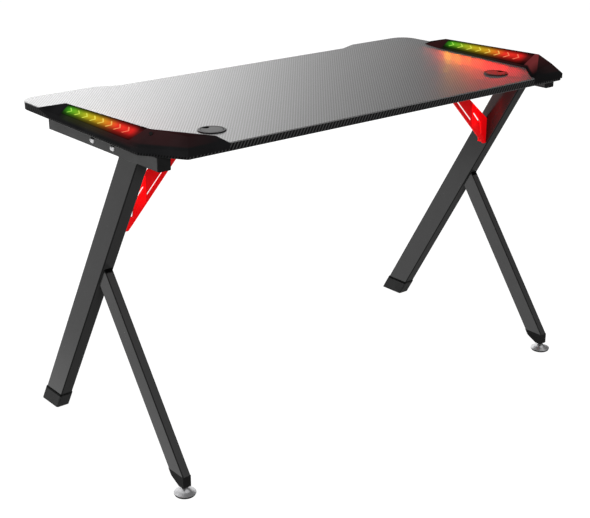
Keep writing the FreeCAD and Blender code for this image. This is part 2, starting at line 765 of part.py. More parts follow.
def ahead_of_leg():
    """Everything on the user's side of the leg's rear face."""
    half = leg_level_width / 2
    top = TOP_HEIGHT
    edge = [(leg_centre(0) + half, 0), (leg_centre(top) + half, top)]
    far = [(-BOARD_DEPTH, top), (-BOARD_DEPTH, 0)]
    return prism(sharp(edge + far), side_at(rail_x - LEG_THICKNESS), OUT * (2 * LEG_THICKNESS))


def strut_bar(width, thickness, radius):
    """Bar along the strut's line, mitred on the leg's rear face."""
    bar = leaning_bar(
        strut_low_y, width, thickness, radius, STRUT_PLUG_TOP, rail_bottom, -strut_lean)
    return without(bar, [ahead_of_leg()])


def strut():
    """Smaller flat tube from the leg back and down to the levelling foot."""
    tube = strut_bar(STRUT_WIDTH, STRUT_THICKNESS, TUBE_CORNER)
    void = strut_bar(
        STRUT_WIDTH - 2 * TUBE_WALL, STRUT_THICKNESS - 2 * TUBE_WALL, inner_corner(TUBE_CORNER))
    return without(tube, [void])


def cross_beam():
    """Flat tube under the board between the two sides."""
    centre_z = board_bottom - BEAM_HEIGHT / 2
    start = side_at(-beam_end)
    push = OUT * (2 * beam_end)
    tube = prism(rectangle(beam_y, centre_z, BEAM_WIDTH, BEAM_HEIGHT, TUBE_CORNER), start, push)
    void = prism(
        rectangle(beam_y, centre_z, BEAM_WIDTH - 2 * TUBE_WALL, BEAM_HEIGHT - 2 * TUBE_WALL,
                  inner_corner(TUBE_CORNER)), start, push)
    cutters = [void]
    for place in brace_beam_screws():
        for side in (1, -1):
            low = Vector(side * place.x, place.y, place.z)
            cutters.append(rod(BRACE_SCREW_RADIUS + SCREW_GAP, low, UP, BEAM_HEIGHT / 2))
    return without(tube, cutters)


def beam_plate():
    """Plate on the beam's end, bolted against the rail."""
    width = 2 * (bolt_offset + BEAM_PLATE_MARGIN)
    corners = rectangle(beam_y, bolt_z, width, RAIL_SIZE - 2 * TUBE_CORNER, TUBE_CORNER)
    plate = prism(corners, side_at(beam_end), OUT * BEAM_PLATE_THICKNESS)
    holes = [
        rod(BEAM_BOLT_RADIUS + SCREW_GAP, place + OUT * beam_end, OUT, BEAM_PLATE_THICKNESS)
        for place in bolt_places()]
    return without(plate, holes)


# Corner braces

def brace_point(inboard, above):
    """Point on the brace's face, from the leg's inner face and the brace's lower end."""
    return Vector(leg_inner - inboard, brace_front, brace_low + above)


def slot(points, width):
    """Round-ended slot through the brace's plate along a chain of points."""
    through = Vector(0, BRACE_PLATE, 0)
    solids = [rod(width / 2, p, through, BRACE_PLATE) for p in points]
    for first, second in zip(points, points[1:]):
        along = (second - first).normalize()
        across = Vector(-along.z, 0, along.x) * (width / 2)
        loop = [first + across, second + across, second - across, first - across]
        solids.append(prism(sharp([(p.x, p.z) for p in loop]), facing_at(brace_front), through))
    return solids


def brace():
    """Bent plate with two slots, screwed to the leg and to the beam."""
    top = BRACE_DROP
    plan = (
        (0, 0, 0), (BRACE_TIP, 0, BRACE_ROUND), (BRACE_REACH, top, 0),
        (BRACE_REACH - BRACE_HEAD, top, 0), (0, BRACE_CONTACT, 0),
    )
    corners = [(leg_inner - u, brace_low + w, radius) for u, w, radius in plan]
    plate = prism(corners, facing_at(brace_front), Vector(0, BRACE_PLATE, 0))
    away = Vector(0, -BRACE_FLANGE, 0)
    leg_flange = prism(
        rectangle(leg_inner - BRACE_FLANGE_THICKNESS / 2, (brace_low + brace_high) / 2,
                  BRACE_FLANGE_THICKNESS, BRACE_CONTACT, 0), facing_at(brace_front), away)
    beam_flange = prism(
        rectangle(leg_inner - BRACE_REACH + BRACE_HEAD / 2, beam_bottom - BRACE_FLANGE_THICKNESS / 2,
                  BRACE_HEAD, BRACE_FLANGE_THICKNESS, 0), facing_at(brace_front), away)
    edge = (brace_point(BRACE_REACH, top) - brace_point(BRACE_TIP, 0)).normalize()
    inward = Vector(-edge.z, 0, edge.x) * -LONG_SLOT_MARGIN
    slot_start = brace_point(BRACE_TIP, 0) + inward + edge * LONG_SLOT_START
    long_slot = slot([slot_start, slot_start + edge * LONG_SLOT_LENGTH], LONG_SLOT_WIDTH)
    bent_slot = slot([brace_point(u, w) for u, w in BENT_SLOT_POINTS], BENT_SLOT_WIDTH)
    holes = [
        rod(BRACE_SCREW_RADIUS + SCREW_GAP, place, OUT, BRACE_FLANGE_THICKNESS)
        for place in brace_leg_screws()]
    holes += [
        rod(BRACE_SCREW_RADIUS + SCREW_GAP, place, UP, BRACE_FLANGE_THICKNESS)
        for place in brace_beam_screws()]
    return without(joined([plate, leg_flange, beam_flange]), long_slot + bent_slot + holes)


# Feet

insert_low = STRUT_PLUG_BOTTOM
insert_high = insert_low + INSERT_LENGTH
stud_top = insert_high
bell_top = STRUT_PLUG_BOTTOM - FOOT_GAP


def foot_axis(z):
    """Point on the right-hand levelling foot's screw axis."""
    return Vector(rail_x, foot_y, z)


def strut_plug():
    """Plastic end of the strut, drawn in towards the screw, with a spigot up the tube."""
    top = STRUT_PLUG_TOP
    low = STRUT_PLUG_BOTTOM
    nose = foot_y - STRUT_PLUG_NOSE
    front = strut_low_y - strut_level_width / 2
    knee = front + (top - low) * math.tan(strut_lean) / 2
    profile = [
        (front, top, 0), (knee, (top + low) / 2, STRUT_PLUG_RADIUS),
        (nose, low, 0), (plug_rear, low, STRUT_PLUG_HEEL_RADIUS), (plug_rear, top, 0),
    ]
    start = side_at(rail_x - STRUT_THICKNESS / 2)
    body = prism(profile, start, OUT * STRUT_THICKNESS)
    wide = STRUT_WIDTH - 2 * TUBE_WALL - 2 * PIECE_GAP
    thick = STRUT_THICKNESS - 2 * TUBE_WALL - 2 * PIECE_GAP
    spigot = leaning_bar(
        strut_low_y, wide, thick, inner_corner(TUBE_CORNER), top, top + PLUG_INSERT, -strut_lean)
    seat = rod(INSERT_RADIUS + SCREW_GAP, foot_axis(low), UP, INSERT_LENGTH)
    return without(joined([body, spigot]), [seat])


def foot_insert():
    """Threaded sleeve in the strut plug, shown by its plain bore."""
    sleeve = rod(INSERT_RADIUS, foot_axis(insert_low), UP, INSERT_LENGTH)
    bore = rod(STUD_RADIUS + THREAD_GAP, foot_axis(insert_low), UP, INSERT_LENGTH)
    return without(sleeve, [bore])


def foot_bell():
    """Flared chrome foot, hollow underneath for the glide."""
    profile = [
        (STUD_RADIUS + SCREW_GAP, bell_top, 0),
        (STUD_RADIUS + SCREW_GAP, GLIDE_HEIGHT, 0),
        (GLIDE_RADIUS + TURN_GAP, GLIDE_HEIGHT, 0),
        (GLIDE_RADIUS + TURN_GAP, GLIDE_SHOW, 0),
        (BELL_RADIUS, GLIDE_SHOW, 0),
        (BELL_RADIUS, GLIDE_SHOW + BELL_RIM, 0),
        (BELL_WAIST_RADIUS, BELL_WAIST_HEIGHT, BELL_SWEEP_RADIUS),
        (BELL_NECK_RADIUS, bell_top - BELL_NECK_HEIGHT, 0),
        (BELL_NECK_RADIUS, bell_top, 0),
    ]
    return turned(profile, foot_axis(0))


def foot_stud():
    """Screw of the levelling foot, fixed in the bell."""
    return rod(STUD_RADIUS, foot_axis(GLIDE_HEIGHT), UP, stud_top - GLIDE_HEIGHT)


def foot_glide():
    """Plastic pad under the bell, which stays still on the floor while the screw turns."""
    profile = [
        (0, 0, 0), (GLIDE_RADIUS - GLIDE_BEVEL, 0, 0), (GLIDE_RADIUS, GLIDE_BEVEL, 0),
        (GLIDE_RADIUS, GLIDE_HEIGHT, 0), (0, GLIDE_HEIGHT, 0),
    ]
    return turned(profile, foot_axis(0))


# Fasteners

def pan_screw(seat, into, radius, length, head_radius, head_height):
    """Screw with a flat-topped head on a seat, its shank going into the work."""
    shank = rod(radius, seat, into, length)
    rim = rod(head_radius, seat, into * -1, head_height / 2)
    crown_start = seat - into * (head_height / 2)
    crown_radius = head_radius * SCREW_CROWN_SHARE
    crown = Part.makeCone(head_radius, crown_radius, head_height / 2, crown_start, into * -1)
    return joined([shank, rim, crown])


def countersunk(seat, length, gap):
    """Screw with a cone head flush in the board's underside, or its hole with a gap added."""
    shank = rod(WING_SCREW_RADIUS + gap, seat, UP, length)
    sink = WING_SCREW_HEAD_RADIUS - WING_SCREW_RADIUS
    head = Part.makeCone(WING_SCREW_HEAD_RADIUS + gap, WING_SCREW_RADIUS + gap, sink, seat, UP)
    return joined([shank, head])


def hexagon(centre_a, centre_b, across_flats):
    """Corners of a hexagon."""
    radius = across_flats / math.sqrt(3)
    turns = [math.pi / 3 * i for i in range(6)]
    return [(centre_a + radius * math.cos(t), centre_b + radius * math.sin(t), 0) for t in turns]


def beam_bolt(place):
    """Socket-head bolt from the rail's outer face through the beam's end plate."""
    head = place + OUT * rail_outer
    length = RAIL_SIZE + BEAM_PLATE_THICKNESS + BEAM_NUT_HEIGHT
    bolt = pan_screw(
        head, OUT * -1, BEAM_BOLT_RADIUS, length, BEAM_BOLT_HEAD_RADIUS, BEAM_BOLT_HEAD_HEIGHT)
    deep = BEAM_BOLT_HEAD_HEIGHT / 2
    key = prism(
        hexagon(place.y, place.z, BEAM_BOLT_SOCKET),
        side_at(rail_outer + BEAM_BOLT_HEAD_HEIGHT - deep), OUT * deep)
    return without(bolt, [key])


def beam_nut(place):
    """Nut on the end plate's inner face."""
    inner = beam_end - BEAM_NUT_HEIGHT
    body = prism(
        hexagon(place.y, place.z, BEAM_NUT_WIDTH), side_at(inner), OUT * BEAM_NUT_HEIGHT)
    bore = rod(BEAM_BOLT_RADIUS + THREAD_GAP, place + OUT * inner, OUT, BEAM_NUT_HEIGHT)
    return without(body, [bore])


def desktop_screw(y):
    """Screw from inside the rail up into the board."""
    seat = Vector(rail_x, y, board_bottom - TUBE_WALL)
    return pan_screw(
        seat, UP, DESKTOP_SCREW_RADIUS, TUBE_WALL + DESKTOP_SCREW_BITE,
        DESKTOP_SCREW_HEAD_RADIUS, DESKTOP_SCREW_HEAD_HEIGHT)


def brace_screw(seat, into):
    """Screw that holds one flange of a brace."""
    return pan_screw(
        seat, into, BRACE_SCREW_RADIUS, BRACE_SCREW_LENGTH,
        BRACE_SCREW_HEAD_RADIUS, BRACE_SCREW_HEAD_HEIGHT)


def wing_screw(x, y):
    """Screw from the board's underside up into a boss of the wing cover."""
    return countersunk(Vector(x, y, board_bottom), BOARD_THICKNESS + WING_SCREW_BITE, 0)


def both_sides(solids):
    """Group of separate solids on the right with their mirror copies on the left."""
    return Part.makeCompound(solids + [mirrored(s) for s in solids])


# All pieces by name. Paired pieces are drawn on the right and mirrored to the left.

paired = {
    "light_lens": light_lens(),
    "light_strip": light_strip(),
    "light_socket": light_socket(),
    "side_rail": side_rail(),
    "rail_plug_front": rail_plug(rail_front, 1),
    "rail_plug_rear": rail_plug(rail_rear, -1),
    "leg": leg(),
    "leg_boot": leg_boot(),
    "strut": strut(),
    "strut_plug": strut_plug(),
    "foot_insert": foot_insert(),
    "foot_bell": foot_bell(),
    "foot_stud": foot_stud(),
    "foot_glide": foot_glide(),
    "beam_plate": beam_plate(),
    "brace": brace(),
}

pieces = {
    "desktop": desktop(),
    "grommet_liner_right": grommet_liner(1),
    "grommet_liner_left": grommet_liner(-1),
    "grommet_cap_right": grommet_cap(1, CABLE_NOTCH_ANGLE_RIGHT),
    "grommet_cap_left": grommet_cap(-1, CABLE_NOTCH_ANGLE_LEFT),
    "wing_cover_right": wing_cover(True),
    "wing_cover_left": mirrored(wing_cover(False)),
    "light_button": light_button(),
    "button_switch": button_switch(),
    "cross_beam": cross_beam(),
    "beam_bolts": both_sides([beam_bolt(place) for place in bolt_places()]),
    "beam_nuts": both_sides([beam_nut(place) for place in bolt_places()]),
    "desktop_screws": both_sides([desktop_screw(y) for y in desktop_screw_ys]),
    "brace_leg_screws": both_sides([brace_screw(place, OUT) for place in brace_leg_screws()]),
    "brace_beam_screws": both_sides([brace_screw(place, UP) for place in brace_beam_screws()]),
    "wing_screws": both_sides([wing_screw(x, y) for x, y in boss_places]),
}
for name, shape in paired.items():
    pieces[name + "_right"] = shape
    pieces[name + "_left"] = mirrored(shape)

for name, shape in pieces.items():
    shape.exportStep("parts/" + name + ".step")
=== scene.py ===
import json
import math

import bpy
from mathutils import Matrix, Vector


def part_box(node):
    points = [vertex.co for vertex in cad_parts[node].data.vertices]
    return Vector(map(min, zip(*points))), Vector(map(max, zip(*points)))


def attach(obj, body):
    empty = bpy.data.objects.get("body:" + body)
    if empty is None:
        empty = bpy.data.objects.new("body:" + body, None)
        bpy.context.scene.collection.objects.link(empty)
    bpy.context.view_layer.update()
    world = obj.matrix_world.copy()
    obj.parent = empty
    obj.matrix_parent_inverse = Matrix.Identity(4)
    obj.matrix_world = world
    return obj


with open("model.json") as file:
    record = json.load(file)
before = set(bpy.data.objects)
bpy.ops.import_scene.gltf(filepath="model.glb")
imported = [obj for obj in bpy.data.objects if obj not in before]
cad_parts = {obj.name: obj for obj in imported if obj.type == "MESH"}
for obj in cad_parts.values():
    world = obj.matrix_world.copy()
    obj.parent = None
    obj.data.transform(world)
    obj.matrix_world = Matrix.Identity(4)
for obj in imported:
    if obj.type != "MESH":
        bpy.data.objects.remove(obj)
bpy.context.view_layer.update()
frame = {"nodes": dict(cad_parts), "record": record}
nodes = frame["nodes"]

# Metres and degrees. The frame's axes: +Z up, -Y to the user, +X to the user's right.

SIGNS = {"right": 1, "left": -1}

# Camera, fitted to the edges of the desk in the photograph
IMAGE_WIDTH = 590
CAMERA_PLACE = Vector((1.8266, 2.19075, 1.3891))
CAMERA_YAW = 219.134
CAMERA_PITCH = 20.237
CAMERA_ROLL = -0.139
SENSOR_WIDTH = 36.0
FOCAL_PIXELS = 1228.4
CENTRE_LEFT_PIXELS = 2.0
CENTRE_UP_PIXELS = 9.7

# Small variations in the finishes
NOISE_DETAIL = 3.0
CLOUD_SCALE = 1 / 60
ROUGHNESS_SPREAD = 0.06
BUMP_HEIGHT = 0.0002

# Carbon-look laminate: the weave, a painted highlight as a light line under the top, the edges'
# hatch, and painted shade on the short ends
WARP_WIDTH = 0.0018
WEFT_WIDTH = 0.00215
TWILL_REPEAT = 4.0
TOW_CONTRAST = 0.4
RIB_CONTRAST = 0.4
FIBRE_CONTRAST = 0.2
FIBRE_SCALE = 900.0
RIM_LINE = 0.0018
RIM_PAINTED_HIGHLIGHT = 0.48
EDGE_REPEAT = 0.0085
EDGE_LEAN = 0.6
END_PAINTED_SHADE = 0.6
END_LIMIT = (0.6, 0.8)
FLAT_LIMIT = 0.5
UNDERSIDE_TONE = 0.014

# Lit windows: a row of chevrons on each facet of the lens
FACET_UP = 0.3
FACET_ACROSS = 0.1
MARK_COUNT = 8
MARK_FIRST = 0.06
MARK_LAST = 0.84
MARK_STROKE = 0.0046
MARK_PROUD = 0.0003
MARK_SUNK = 0.0002
MARK_MIDDLE = 0.5
MARK_REACH = 0.22
MARK_POINT = 0.04

# Painted glow on the covers, for the lens's light on them: from behind the lens's rear end, and close
# to the lens
LEAK_FROM_LENS = Vector((-0.05, 0.03, -0.004))
LEAK_REACH = (0.11, 0.02)
PAINTED_LEAK_GLOW = (0.02, 0.15)
LEAK_START = 0.001
LEAK_FULL = 0.004
INWARD = (-0.2, -0.4)
NOSE_FADE = 0.01
HALO_DROP = 0.010
HALO_FRONT_FADE = 0.03
HALO_REAR_FADE = 0.02
PAINTED_FAINT_GLOW = 0.022

# Lamps before the inner facets: start and end along the lens, and colour
GLOWS = (
    (-0.30, -0.18, (0.06, 0.003, 0.002)), (-0.18, -0.08, (0.16, 0.008, 0.005)),
    (-0.08, 0.00, (0.40, 0.03, 0.01)), (0.00, 0.06, (0.80, 0.34, 0.01)),
    (0.06, 0.13, (0.60, 0.04, 0.005)), (0.13, 0.19, (0.90, 0.26, 0.01)),
    (0.19, 0.27, (0.75, 0.03, 0.005)), (0.27, 0.33, (0.90, 0.13, 0.01)),
    (0.33, 0.40, (0.80, 0.02, 0.005)), (0.40, 0.46, (0.95, 0.06, 0.01)),
    (0.46, 0.60, (0.85, 0.01, 0.005)), (0.60, 0.75, (0.75, 0.008, 0.006)),
    (0.75, 0.90, (0.40, 0.008, 0.008)), (0.90, 1.00, (0.20, 0.005, 0.005)),
)
GLOW_WATTS = 1.05
GLOW_DEPTH = 0.5
GLOW_MIDDLE = 0.40
GLOW_GAP = 0.004

# Light that the braces throw on the legs
BRACE_WATTS = 0.09
BRACE_COLOUR = (1.0, 0.01, 0.01)
BRACE_WIDTH = 0.06
BRACE_HEIGHT = 0.12
BRACE_BEHIND = 0.005
BRACE_AIM = 0.03
BRACE_RISE = 0.65

# Coat of the tubes, with glossy broad faces on the legs and struts
COAT_TONE = 0.0545
COAT_SPREAD = 0.08
COAT_ROUGHNESS = 0.50
COAT_SPECULAR = 0.02
CORNER_PAINTED_SHADE = 0.012
GLOSS = 0.58
GLOSS_ROUGHNESS = 0.16
# Painted light: legs and struts are lit and shaded copies of one black coat, with their own tones and
# painted shade on the narrow faces
LEG_TONE = 0.012
LEG_NARROW_PAINTED_SHADE = 0.034
STRUT_TONE = 0.025
STRUT_NARROW_PAINTED_SHADE = 0.046

# Share of X in a face's normal: the rounded corners, and the narrow and broad faces
CORNER_START = (0.15, 0.35)
CORNER_END = (0.98, 0.9)
NARROW_FACES = (0.2, 0.1)
BROAD_FACES = (0.96, 0.99)

# Painted shade at the top of each strut, where it meets its leg
JOINT_SHADE_DEPTH = 0.009
JOINT_FADE = 0.002
JOINT_PAINTED_SHADE = 0.001

# Painted shade line at the top of each leg boot, in the gap round the tube
BOOT_GAP = 0.0045
BOOT_FADE = 0.0005
BOOT_GAP_PAINTED_SHADE = 0.0005

# Painted shade on the upper part of the bolt heads, from their middle
BOLT_SHADE_START = 0.0015
BOLT_SHADE_END = 0.003
BOLT_SHADE_TONE = 0.03

# Painted dark reflection on the bells' rim, where they face least upwards
BELL_RIM = (0.30, 0.15)
BELL_RIM_PAINTED_REFLECTION = 0.10

# Painted shade of the thread's grooves on the levelling feet
STUD_PITCH = 0.00125
STUD_GROOVE_SHADE = (0.4, 0.8)

# Filled welds between the legs and the rails
WELD_STEPS = 4
TUBE_CORNER = 0.0025
LEVEL_TOLERANCE = 0.00025

# Floor and room, and the studio cards that only reflections show: a dark one on the left, a
# level one that hides the graded one from below, and a graded one in front for the top's sheen
FLOOR_SIZE = 16.0
FLOOR_OWN_LIGHT = 0.92
FLOOR_TONE = 0.28
FLOOR_FADE = (0.50, 0.85)
FLOOR_FADED_LIGHT = 0.55
ROOM_LIGHT = 0.35
DARK_CARD = ((-2.6, -1.9), (-2.6, 2.0), 0.0, 3.2)
DARK_CARD_LIGHT = 0.16
LOW_CARD = ((2.5, -0.36, 0.745), (-7.5, -0.36, 0.745), (-7.5, -4.2, 0.745), (2.5, -4.2, 0.745))
LOW_CARD_LIGHT = 1.3
GRADED_CARD = ((1.0, -3.9), (-6.0, -3.9), 1.3, 4.5)
GRADED_CARD_LIGHT = (
    (0.0, 6.8), (0.33, 6.8), (0.42, 5.5), (0.54, 3.0), (0.60, 1.92),
    (0.66, 1.38), (0.73, 1.02), (0.80, 0.46), (0.90, 0.10), (1.0, 0.05),
)

# Softboxes: place, target, width, height and watts
SOFTBOXES = {
    "softbox_front": ((-1.2, -3.9, 1.75), (0.3, 0.0, 0.754), 1.9, 2.0, 36.0),
    "softbox_side": ((7.0, -2.6, 0.55), (0.0, 0.0, 0.3), 3.4, 1.0, 490.0),
    "softbox_rear": ((1.0, 3.6, 1.8), (0.0, 0.1, 0.45), 2.2, 1.2, 80.0),
}


# Node helpers

def grey(level):
    """Colour with equal red, green and blue."""
    return (level, level, level)


class Finish:
    """One material, with short calls for the nodes that its finish is made from."""

    def __init__(self, name):
        self.material = bpy.data.materials.new(name)
        self.material.use_nodes = True
        self.tree = self.material.node_tree
        self.surface = self.tree.nodes["Principled BSDF"]
        self.coordinates = self.add("ShaderNodeTexCoord").outputs["Object"]

    def add(self, kind):
        return self.tree.nodes.new(kind)

    def link(self, source, target):
        self.tree.links.new(source, target)

    def feed(self, node, socket, value):
        """Gives an input a number, a colour or another node's output."""
        if isinstance(value, bpy.types.NodeSocket):
            self.link(value, node.inputs[socket])
        else:
            node.inputs[socket].default_value = value

    def set(self, **values):
        """Fixed values on the shader's own sockets."""
        for name, value in values.items():
            self.surface.inputs[name.replace("_", " ")].default_value = value

    def drive(self, socket, value):
        self.link(value, self.surface.inputs[socket])

    def math(self, operation, *values):
        node = self.add("ShaderNodeMath")
        node.operation = operation
        for i, value in enumerate(values):
            self.feed(node, i, value)
        return node.outputs[0]

    def times(self, first, second):
        return self.math("MULTIPLY", first, second)

    def parts(self, vector):
        """The X, Y and Z of a vector."""
        node = self.add("ShaderNodeSeparateXYZ")
        self.link(vector, node.inputs[0])
        return node.outputs

    def axes(self):
        return self.parts(self.coordinates)

    def normal(self):
        return self.parts(self.add("ShaderNodeNewGeometry").outputs["Normal"])

    def noise(self, scale):
        node = self.add("ShaderNodeTexNoise")
        self.link(self.coordinates, node.inputs["Vector"])
        node.inputs["Scale"].default_value = scale
        node.inputs["Detail"].default_value = NOISE_DETAIL
        return node.outputs[0]

    def mapped(self, value, end, low, high):
        """A value mapped from a range or to a range. The other range is 0 to 1."""
        node = self.add("ShaderNodeMapRange")
        self.feed(node, "Value", value)
        node.inputs[end + " Min"].default_value = low
        node.inputs[end + " Max"].default_value = high
        return node.outputs["Result"]

    def spread(self, value, low, high):
        """A 0 to 1 value mapped to a range."""
        return self.mapped(value, "To", low, high)

    def share(self, value, start, end):
        """How far a value is between a start and an end, from 0 to 1."""
        return self.mapped(value, "From", start, end)

    def ramp(self, value, stops):
        """Colours along a 0 to 1 value, from (place, colour) stops."""
        node = self.add("ShaderNodeValToRGB")
        band = node.color_ramp
        while len(band.elements) < len(stops):
            band.elements.new(1.0)
        for element, (place, colour) in zip(band.elements, stops):
            element.position = place
            element.color = (*colour, 1.0)
        self.feed(node, "Fac", value)
        return node.outputs["Color"]

    def blend(self, share, first, second):
        """Mix of two colours."""
        node = self.add("ShaderNodeMix")
        node.data_type = "RGBA"
        colours = [socket for socket in node.inputs if socket.type == "RGBA"]
        self.feed(node, 0, share)
        for socket, value in zip(colours, (first, second)):
            if isinstance(value, bpy.types.NodeSocket):
                self.link(value, socket)
            else:
                socket.default_value = (*value, 1.0)
        return next(socket for socket in node.outputs if socket.type == "RGBA")

    def paint(self, share, colour):
        """Another colour over part of the finish."""
        base = self.surface.inputs["Base Color"].links[0].from_socket
        self.drive("Base Color", self.blend(share, base, colour))

    def bump(self, height, strength):
        node = self.add("ShaderNodeBump")
        node.inputs["Strength"].default_value = strength
        node.inputs["Distance"].default_value = BUMP_HEIGHT
        self.link(height, node.inputs["Height"])
        self.link(node.outputs["Normal"], self.surface.inputs["Normal"])

    def emission(self, strength):
        """White light of a given strength, as a shader of its own."""
        node = self.add("ShaderNodeEmission")
        self.feed(node, "Strength", strength)
        return node.outputs[0]

    def join(self, kind, *sources):
        """A shader made from others, such as a mix or a sum."""
        node = self.add(kind)
        for socket, source in zip(node.inputs, sources):
            self.link(source, socket)
        return node.outputs[0]


# Finishes

def coated(name, dark, light, rough, grain, bump, specular):
    """A finish whose colour, gloss and surface vary a little from place to place."""
    finish = Finish(name)
    cloud = finish.noise(grain * CLOUD_SCALE)
    fine = finish.noise(grain)
    finish.drive("Base Color", finish.ramp(cloud, ((0.3, dark), (0.7, light))))
    finish.drive("Roughness", finish.spread(fine, rough - ROUGHNESS_SPREAD, rough + ROUGHNESS_SPREAD))
    finish.bump(fine, bump)
    finish.set(Specular_IOR_Level=specular)
    return finish


def plated(name, dark, light, rough, grain, bump, metallic=1.0):
    """A coated finish of metal."""
    finish = coated(name, dark, light, rough, grain, bump, specular=0.5)
    finish.set(Metallic=metallic)
    return finish


def carbon_laminate():
    """Twill of woven tows under a clear glossy film, hatched edges and a plain black underside."""
    finish = Finish("carbon_laminate")
    x, y, z = finish.axes()
    warp = finish.math("DIVIDE", finish.math("ADD", x, z), WARP_WIDTH)
    weft = finish.math("DIVIDE", finish.math("SUBTRACT", y, z), WEFT_WIDTH)
    step = finish.math("SUBTRACT", finish.math("FLOOR", warp), finish.math("FLOOR", weft))
    turn = finish.math("FLOORED_MODULO", step, TWILL_REPEAT)
    over = finish.math("LESS_THAN", turn, TWILL_REPEAT / 2)
    slope = finish.math("DIVIDE", finish.math("SUBTRACT", warp, weft), TWILL_REPEAT)
    rib = finish.times(finish.math("PINGPONG", slope, 0.5), 2.0)
    fibres = finish.times(finish.noise(FIBRE_SCALE), FIBRE_CONTRAST)
    tows = finish.math("MULTIPLY_ADD", over, TOW_CONTRAST, fibres)
    tone = finish.math("MULTIPLY_ADD", rib, RIB_CONTRAST, tows)
    weave = finish.ramp(tone, ((0.35, grey(0.0)), (0.70, (0.130, 0.130, 0.131))))

    across, _, facing = finish.normal()
    side = finish.math("LESS_THAN", finish.math("ABSOLUTE", facing), FLAT_LIMIT)
    end = finish.times(side, finish.share(finish.math("ABSOLUTE", across), *END_LIMIT))
    below = finish.math("LESS_THAN", facing, -FLAT_LIMIT)
    along = finish.math("MULTIPLY_ADD", z, EDGE_LEAN, finish.math("SUBTRACT", x, y))
    hatch = finish.math("PINGPONG", finish.math("DIVIDE", along, EDGE_REPEAT), 0.5)
    stripes = finish.ramp(hatch, ((0.30, grey(0.0002)), (0.37, (0.055, 0.055, 0.056))))
    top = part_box("desktop")[1].z
    # Painted highlight: a light line just under the top edge, standing in for its rounded arris
    painted_rim = finish.times(side, finish.share(z, top - RIM_LINE, top - RIM_LINE / 2))

    finish.drive("Base Color", finish.blend(side, weave, stripes))
    finish.paint(painted_rim, grey(RIM_PAINTED_HIGHLIGHT))
    # Painted shade on the board's short end faces
    finish.paint(finish.times(end, END_PAINTED_SHADE), grey(0.0))
    finish.paint(below, grey(UNDERSIDE_TONE))
    finish.drive("Roughness", finish.spread(rib, 0.38, 0.34))
    finish.drive("Specular IOR Level", finish.spread(side, 0.18, 0.04))
    return finish.material


def light_colours(finish, y, stops):
    """Colours of the lit windows from their front end to their rear end."""
    low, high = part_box("light_lens_right")
    return finish.ramp(finish.share(y, low.y, high.y), stops)


def cover_plastic():
    """Black moulding, with a painted glow of the lens's light on it, most near the lens's rear end.
    """
    finish = coated("cover_plastic", (0.007, 0.007, 0.0074), (0.011, 0.011, 0.0116),
                    rough=0.45, grain=900.0, bump=0.05, specular=0.0)
    low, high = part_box("light_lens_right")
    x, y, z = finish.axes()
    outward = finish.times(finish.normal()["X"], finish.math("SIGN", x))
    inward = finish.share(outward, *INWARD)

    place = finish.add("ShaderNodeCombineXYZ")
    for i, value in enumerate((finish.math("ABSOLUTE", x), y, z)):
        finish.link(value, place.inputs[i])
    gap = finish.add("ShaderNodeVectorMath")
    gap.operation = "DISTANCE"
    finish.link(place.outputs[0], gap.inputs[0])
    gap.inputs[1].default_value = high + LEAK_FROM_LENS
    # Painted glow near a point behind the lens's rear end, above the lens's foot
    near = finish.times(finish.share(gap.outputs["Value"], *LEAK_REACH),
                        finish.share(z, low.z + LEAK_START, low.z + LEAK_FULL))
    painted_leak_glow = finish.times(near, finish.spread(inward, *PAINTED_LEAK_GLOW))

    # Painted glow at the lens's front end, and a painted halo beside the lens
    painted_nose_glow = finish.times(finish.share(y, low.y + NOSE_FADE, low.y - NOSE_FADE), inward)
    beside = finish.times(finish.share(y, low.y, low.y + HALO_FRONT_FADE),
                          finish.share(y, high.y + HALO_REAR_FADE, high.y - HALO_REAR_FADE))
    painted_halo = finish.times(beside, finish.share(z, low.z - HALO_DROP, low.z))
    painted_faint_glow = finish.times(finish.math("ADD", painted_nose_glow, painted_halo), PAINTED_FAINT_GLOW)

    finish.drive("Emission Color", light_colours(finish, y, (
        (0.0, (0.95, 0.12, 0.13)), (0.02, (0.30, 0.80, 0.10)), (0.20, (0.60, 0.72, 0.08)),
        (0.42, (0.90, 0.72, 0.08)), (0.60, (0.95, 0.40, 0.10)), (0.74, (0.95, 0.12, 0.13)))))
    finish.drive("Emission Strength", finish.math("ADD", painted_leak_glow, painted_faint_glow))
    return finish.material


def smoked_lens():
    """Smoked strip, brightest along the middle of each facet."""
    finish = Finish("smoked_lens")
    facet = lit_facet("right", 1)
    front = facet["ridge_front"]
    rear = facet["ridge_rear"]
    foot = facet["low_front"].z
    _, y, z = finish.axes()
    ridge = finish.math("MULTIPLY_ADD", finish.share(y, front.y, rear.y), rear.z - front.z, front.z)
    down = finish.math("DIVIDE", finish.math("SUBTRACT", ridge, z),
                       finish.math("SUBTRACT", ridge, foot))
    band = finish.ramp(down, (
        (0.0, grey(0.01)), (0.12, grey(0.16)), (0.36, grey(1.0)),
        (0.54, grey(0.9)), (0.80, grey(0.22)), (1.0, grey(0.02))))
    glow = light_colours(finish, y, (
        (0.0, (0.01, 0.09, 0.004)), (0.07, (0.06, 0.36, 0.01)), (0.17, (0.17, 0.36, 0.012)),
        (0.32, (0.44, 0.38, 0.012)), (0.48, (0.56, 0.30, 0.010)), (0.60, (0.64, 0.14, 0.012)),
        (0.70, (0.74, 0.03, 0.015)), (0.88, (0.68, 0.015, 0.012)), (0.95, (0.10, 0.006, 0.006)),
        (1.0, (0.05, 0.004, 0.004))))
    flicker = finish.spread(finish.noise(60.0), 0.85, 1.40)
    finish.set(Base_Color=(0.004, 0.003, 0.003, 1.0), Specular_IOR_Level=0.0)
    finish.drive("Roughness", finish.spread(finish.noise(700.0), 0.12, 0.22))
    finish.drive("Emission Color", glow)
    finish.drive("Emission Strength", finish.times(band, flicker))
    return finish.material


